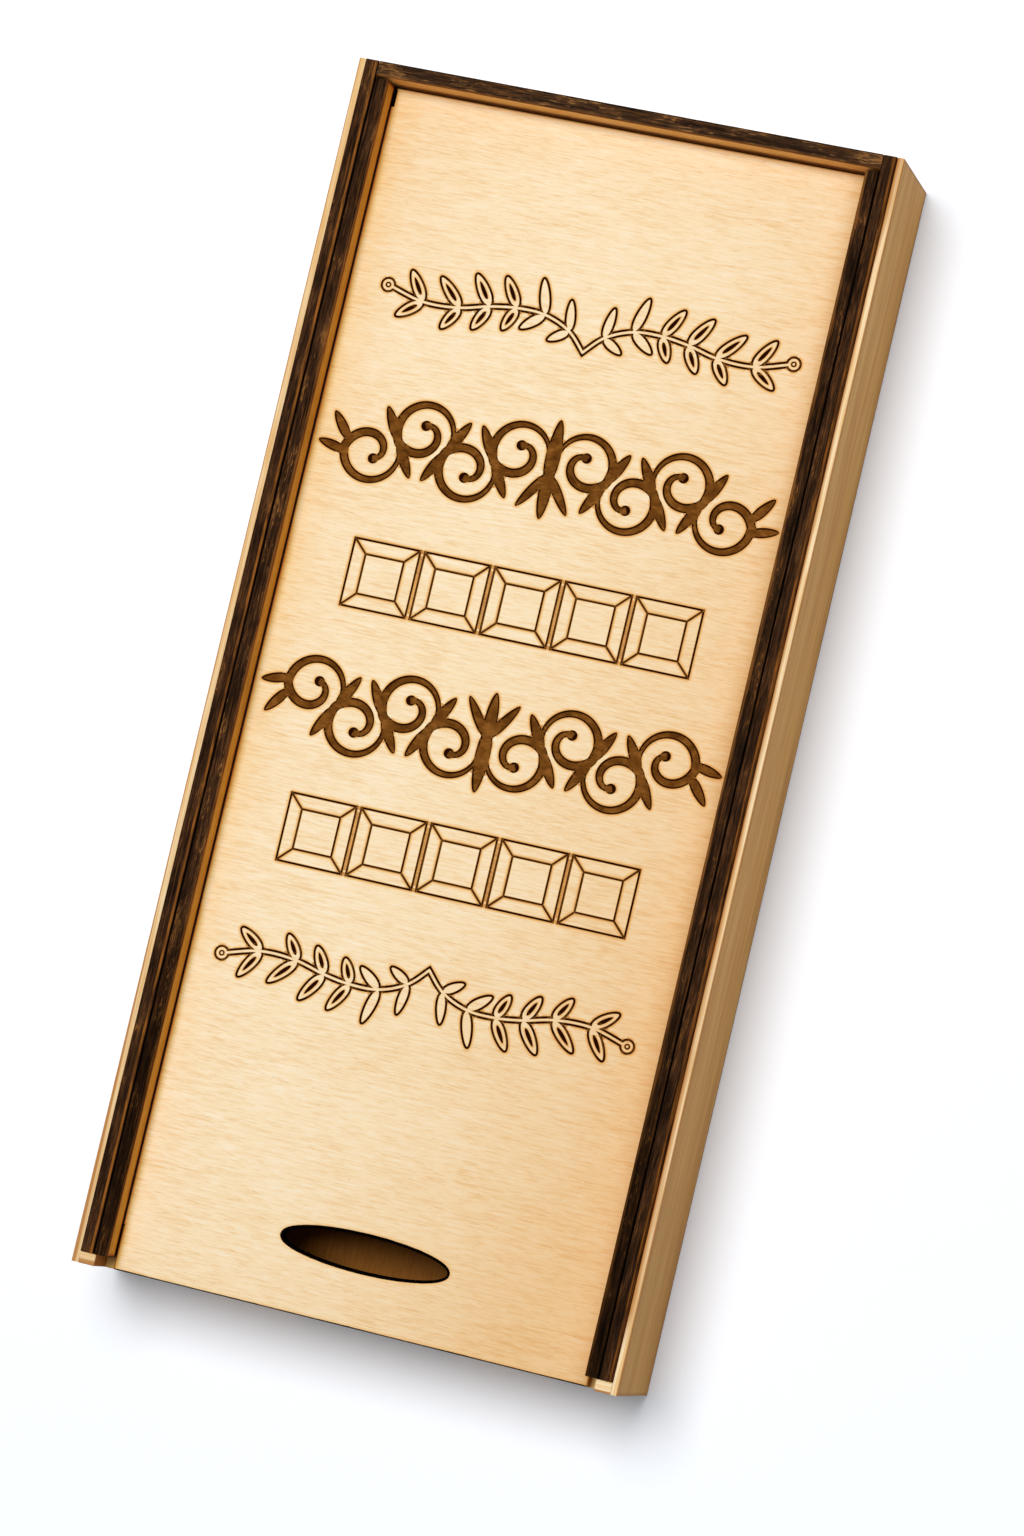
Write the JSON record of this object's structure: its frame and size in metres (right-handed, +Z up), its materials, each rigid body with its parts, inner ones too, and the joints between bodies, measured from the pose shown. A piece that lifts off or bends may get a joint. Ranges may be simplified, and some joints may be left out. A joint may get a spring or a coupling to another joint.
{
  "type": "wooden chocolate box",
  "caption": "Flat laser-cut wooden box with a sliding engraved lid, finger slot, charred plywood rim and pale outer panels, for holding a chocolate bar",
  "frame": {"origin": "middle of the box's underside, on the surface that it stands on", "axes": "+Z up, +Y from the finger-slot end to the back, +X to the right seen from the finger-slot end"},
  "size_m": [0.12, 0.262, 0.032],
  "materials": {
    "birch_plywood": "sanded birch plywood with scorched edges",
    "charred_plywood": "plywood with laser-charred edges",
    "pale_wood": "planed pale wood, oiled lightly",
    "lid_birch": "sanded birch veneer with laser-engraved ornament"
  },
  "bodies": {
    "box": {"base_panel": "birch_plywood", "left_side_wall": "charred_plywood", "right_side_wall": "charred_plywood", "left_outer_panel": "pale_wood", "right_outer_panel": "pale_wood", "left_upper_rail": "charred_plywood", "right_upper_rail": "charred_plywood", "left_lower_runner": "charred_plywood", "right_lower_runner": "charred_plywood", "left_stop_block": "charred_plywood", "right_stop_block": "charred_plywood", "back_wall": "charred_plywood", "front_wall": "pale_wood"},
    "lid": {"lid": "lid_birch"}
  },
  "joints": [
    {"name": "lid_slide", "type": "slide", "parent": "box", "child": "lid", "axis": [0, -1, 0], "range_m": [0, 0.26]}
  ]
}
